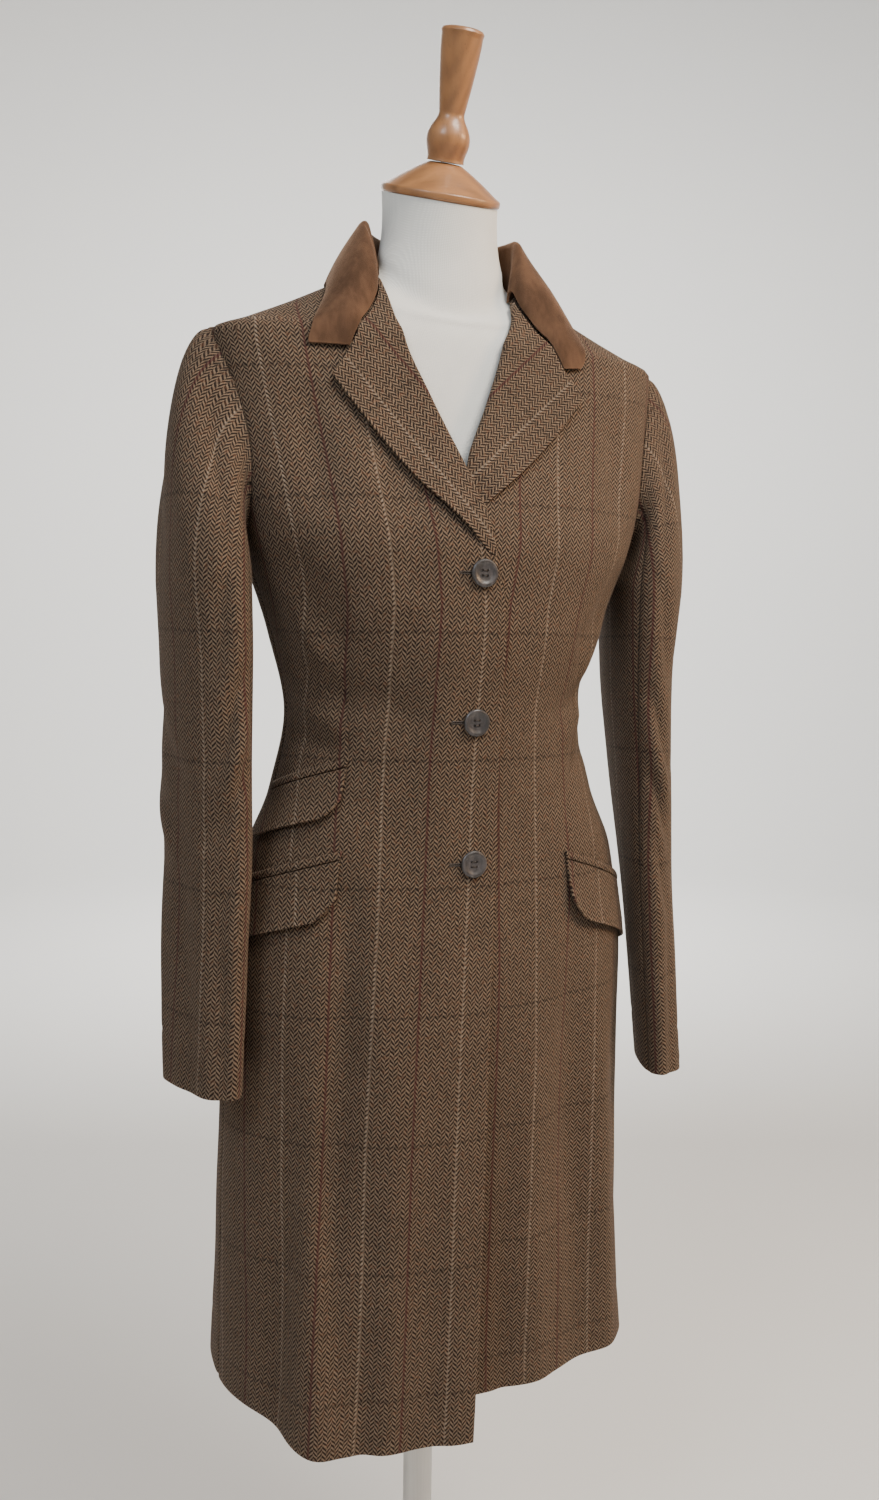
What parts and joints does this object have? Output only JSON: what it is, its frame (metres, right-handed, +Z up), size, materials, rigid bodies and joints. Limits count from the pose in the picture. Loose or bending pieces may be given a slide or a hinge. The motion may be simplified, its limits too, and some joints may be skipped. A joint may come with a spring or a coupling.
{
  "type": "tweed coat on a dress form",
  "caption": "Herringbone tweed coat with a velvet collar, notched lapels and slanting flap pockets, buttoned on a limbless dress form with a turned wooden cap, pole and round base.",
  "frame": {"origin": "on the floor, at the middle of the round base's underside", "axes": "+Z up, the coat's front towards -Y, the wearer's left towards +X"},
  "size_m": [0.5028, 0.35, 1.6327],
  "materials": {
    "tweed": "brown herringbone wool tweed with a dark red and cream overcheck",
    "velvet": "short-pile brown velvet",
    "horn": "dark horn, satin",
    "jersey": "cream jersey over padding",
    "beech": "varnished, satin",
    "steel": "satin"
  },
  "bodies": {
    "root": {"front_right": "tweed", "front_left": "tweed", "back_right": "tweed", "back_left": "tweed", "lapel_right": "tweed", "lapel_left": "tweed", "top_sleeve_right": "tweed", "top_sleeve_left": "tweed", "under_sleeve_right": "tweed", "under_sleeve_left": "tweed", "welt_ticket_right": "tweed", "flap_ticket_right": "tweed", "welt_right": "tweed", "flap_right": "tweed", "welt_left": "tweed", "flap_left": "tweed", "collar": "velvet", "button_1": "horn", "button_2": "horn", "button_3": "horn", "form_torso": "jersey", "neck_cap": "beech", "finial": "beech", "base": "beech", "pole": "steel"}
  },
  "joints": []
}
